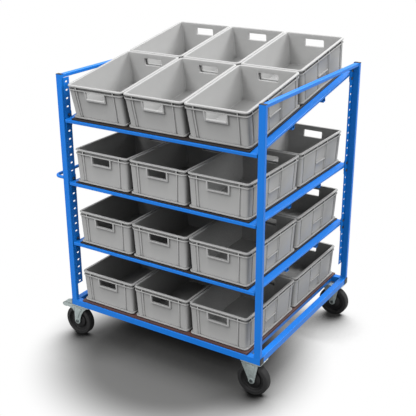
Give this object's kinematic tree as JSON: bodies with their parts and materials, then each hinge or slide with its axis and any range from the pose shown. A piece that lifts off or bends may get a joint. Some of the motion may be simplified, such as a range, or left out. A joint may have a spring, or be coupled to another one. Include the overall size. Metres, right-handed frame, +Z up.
{
  "type": "order picking trolley",
  "caption": "Push trolley with a tube frame, a deck, level and tilted shelves and stacking containers, rolling on fixed casters and braked swivel casters.",
  "frame": {"origin": "middle of the underside of the trolley's box, on the floor", "axes": "+Z up, +X along the front away from the push handle, +Y from front to rear"},
  "size_m": [1.537, 1.2482, 1.8992],
  "materials": {
    "blue_powder_coat": "satin powder coat",
    "grey_polypropylene": "satin moulded",
    "tyre_rubber": "matte",
    "wheel_polyamide": "moulded",
    "black_plastic": "moulded",
    "deck_plywood": "film faced plywood",
    "shelf_plywood": "film faced plywood",
    "zinc_fasteners": "zinc plated",
    "race_steel": "oiled steel",
    "zinc_pressings": "zinc plated"
  },
  "bodies": {
    "frame": {"base_cross_tubes": "blue_powder_coat", "base_side_tubes": "blue_powder_coat", "deck_supports": "blue_powder_coat", "deck_board": "deck_plywood", "uprights": "blue_powder_coat", "perforated_strips": "blue_powder_coat", "top_rails": "blue_powder_coat", "tube_plugs": "black_plastic", "push_handle": "blue_powder_coat", "shelf_end_plates": "blue_powder_coat", "shelf_bolts": "zinc_fasteners", "caster_bolts": "zinc_fasteners", "shelf_frame_lower": "blue_powder_coat", "shelf_board_lower": "shelf_plywood", "shelf_frame_middle": "blue_powder_coat", "shelf_board_middle": "shelf_plywood", "shelf_frame_top": "blue_powder_coat", "shelf_board_top": "shelf_plywood", "fixed_forks": "zinc_pressings", "swivel_plates": "zinc_pressings", "swivel_races": "race_steel", "fixed_axles": "zinc_fasteners"},
    "container_deck_1": {"container_deck_1": "grey_polypropylene"},
    "container_deck_2": {"container_deck_2": "grey_polypropylene"},
    "container_deck_3": {"container_deck_3": "grey_polypropylene"},
    "container_deck_4": {"container_deck_4": "grey_polypropylene"},
    "container_deck_5": {"container_deck_5": "grey_polypropylene"},
    "container_deck_6": {"container_deck_6": "grey_polypropylene"},
    "container_lower_1": {"container_lower_1": "grey_polypropylene"},
    "container_lower_2": {"container_lower_2": "grey_polypropylene"},
    "container_lower_3": {"container_lower_3": "grey_polypropylene"},
    "container_lower_4": {"container_lower_4": "grey_polypropylene"},
    "container_lower_5": {"container_lower_5": "grey_polypropylene"},
    "container_lower_6": {"container_lower_6": "grey_polypropylene"},
    "container_middle_1": {"container_middle_1": "grey_polypropylene"},
    "container_middle_2": {"container_middle_2": "grey_polypropylene"},
    "container_middle_3": {"container_middle_3": "grey_polypropylene"},
    "container_middle_4": {"container_middle_4": "grey_polypropylene"},
    "container_middle_5": {"container_middle_5": "grey_polypropylene"},
    "container_middle_6": {"container_middle_6": "grey_polypropylene"},
    "container_top_1": {"container_top_1": "grey_polypropylene"},
    "container_top_2": {"container_top_2": "grey_polypropylene"},
    "container_top_3": {"container_top_3": "grey_polypropylene"},
    "container_top_4": {"container_top_4": "grey_polypropylene"},
    "container_top_5": {"container_top_5": "grey_polypropylene"},
    "container_top_6": {"container_top_6": "grey_polypropylene"},
    "swivel_front": {"swivel_fork_front": "zinc_pressings", "swivel_axle_front": "zinc_fasteners"},
    "pedal_front": {"brake_pedal_front": "zinc_pressings"},
    "wheel_swivel_front": {"tyre_swivel_front": "tyre_rubber", "wheel_rim_swivel_front": "wheel_polyamide"},
    "wheel_fixed_front": {"tyre_fixed_front": "tyre_rubber", "wheel_rim_fixed_front": "wheel_polyamide"},
    "swivel_rear": {"swivel_fork_rear": "zinc_pressings", "swivel_axle_rear": "zinc_fasteners"},
    "pedal_rear": {"brake_pedal_rear": "zinc_pressings"},
    "wheel_swivel_rear": {"tyre_swivel_rear": "tyre_rubber", "wheel_rim_swivel_rear": "wheel_polyamide"},
    "wheel_fixed_rear": {"tyre_fixed_rear": "tyre_rubber", "wheel_rim_fixed_rear": "wheel_polyamide"}
  },
  "joints": [
    {"name": "container_deck_1_slide", "type": "slide", "parent": "frame", "child": "container_deck_1", "axis": [0, -1, 0], "range_m": [0, 0.62]},
    {"name": "container_deck_2_slide", "type": "slide", "parent": "frame", "child": "container_deck_2", "axis": [0, -1, 0], "range_m": [0, 0.62]},
    {"name": "container_deck_3_slide", "type": "slide", "parent": "frame", "child": "container_deck_3", "axis": [0, -1, 0], "range_m": [0, 0.62]},
    {"name": "container_deck_4_slide", "type": "slide", "parent": "frame", "child": "container_deck_4", "axis": [0, 1, 0], "range_m": [0, 0.62]},
    {"name": "container_deck_5_slide", "type": "slide", "parent": "frame", "child": "container_deck_5", "axis": [0, 1, 0], "range_m": [0, 0.62]},
    {"name": "container_deck_6_slide", "type": "slide", "parent": "frame", "child": "container_deck_6", "axis": [0, 1, 0], "range_m": [0, 0.62]},
    {"name": "container_lower_1_slide", "type": "slide", "parent": "frame", "child": "container_lower_1", "axis": [0, -1, 0], "range_m": [0, 0.62]},
    {"name": "container_lower_2_slide", "type": "slide", "parent": "frame", "child": "container_lower_2", "axis": [0, -1, 0], "range_m": [0, 0.62]},
    {"name": "container_lower_3_slide", "type": "slide", "parent": "frame", "child": "container_lower_3", "axis": [0, -1, 0], "range_m": [0, 0.62]},
    {"name": "container_lower_4_slide", "type": "slide", "parent": "frame", "child": "container_lower_4", "axis": [0, 1, 0], "range_m": [0, 0.62]},
    {"name": "container_lower_5_slide", "type": "slide", "parent": "frame", "child": "container_lower_5", "axis": [0, 1, 0], "range_m": [0, 0.62]},
    {"name": "container_lower_6_slide", "type": "slide", "parent": "frame", "child": "container_lower_6", "axis": [0, 1, 0], "range_m": [0, 0.62]},
    {"name": "container_middle_1_slide", "type": "slide", "parent": "frame", "child": "container_middle_1", "axis": [0, -1, 0], "range_m": [0, 0.62]},
    {"name": "container_middle_2_slide", "type": "slide", "parent": "frame", "child": "container_middle_2", "axis": [0, -1, 0], "range_m": [0, 0.62]},
    {"name": "container_middle_3_slide", "type": "slide", "parent": "frame", "child": "container_middle_3", "axis": [0, -1, 0], "range_m": [0, 0.62]},
    {"name": "container_middle_4_slide", "type": "slide", "parent": "frame", "child": "container_middle_4", "axis": [0, 1, 0], "range_m": [0, 0.62]},
    {"name": "container_middle_5_slide", "type": "slide", "parent": "frame", "child": "container_middle_5", "axis": [0, 1, 0], "range_m": [0, 0.62]},
    {"name": "container_middle_6_slide", "type": "slide", "parent": "frame", "child": "container_middle_6", "axis": [0, 1, 0], "range_m": [0, 0.62]},
    {"name": "container_top_1_lift", "type": "slide", "parent": "frame", "child": "container_top_1", "axis": [0, -0.1713, 0.9852], "range_m": [0, 0.25]},
    {"name": "container_top_2_lift", "type": "slide", "parent": "frame", "child": "container_top_2", "axis": [0, -0.1713, 0.9852], "range_m": [0, 0.25]},
    {"name": "container_top_3_lift", "type": "slide", "parent": "frame", "child": "container_top_3", "axis": [0, -0.1713, 0.9852], "range_m": [0, 0.25]},
    {"name": "container_top_4_lift", "type": "slide", "parent": "frame", "child": "container_top_4", "axis": [0, -0.1713, 0.9852], "range_m": [0, 0.25]},
    {"name": "container_top_5_lift", "type": "slide", "parent": "frame", "child": "container_top_5", "axis": [0, -0.1713, 0.9852], "range_m": [0, 0.25]},
    {"name": "container_top_6_lift", "type": "slide", "parent": "frame", "child": "container_top_6", "axis": [0, -0.1713, 0.9852], "range_m": [0, 0.25]},
    {"name": "swivel_front_turn", "type": "hinge", "parent": "frame", "child": "swivel_front", "pos_m": [-0.5915, -0.5534, 0.215], "axis": [0, 0, 1], "continuous": true},
    {"name": "wheel_swivel_front_spin", "type": "hinge", "parent": "swivel_front", "child": "wheel_swivel_front", "pos_m": [-0.6415, -0.5534, 0.1], "axis": [0, 1, 0], "continuous": true},
    {"name": "pedal_front_press", "type": "hinge", "parent": "swivel_front", "child": "pedal_front", "pos_m": [-0.6765, -0.5534, 0.206], "axis": [0, -1, 0], "range_deg": [0, 10]},
    {"name": "wheel_fixed_front_spin", "type": "hinge", "parent": "frame", "child": "wheel_fixed_front", "pos_m": [0.6685, -0.5534, 0.1], "axis": [0, 1, 0], "continuous": true},
    {"name": "swivel_rear_turn", "type": "hinge", "parent": "frame", "child": "swivel_rear", "pos_m": [-0.5915, 0.5716, 0.215], "axis": [0, 0, 1], "continuous": true},
    {"name": "wheel_swivel_rear_spin", "type": "hinge", "parent": "swivel_rear", "child": "wheel_swivel_rear", "pos_m": [-0.6415, 0.5716, 0.1], "axis": [0, 1, 0], "continuous": true},
    {"name": "pedal_rear_press", "type": "hinge", "parent": "swivel_rear", "child": "pedal_rear", "pos_m": [-0.6765, 0.5716, 0.206], "axis": [0, -1, 0], "range_deg": [0, 10]},
    {"name": "wheel_fixed_rear_spin", "type": "hinge", "parent": "frame", "child": "wheel_fixed_rear", "pos_m": [0.6685, 0.5716, 0.1], "axis": [0, 1, 0], "continuous": true}
  ]
}
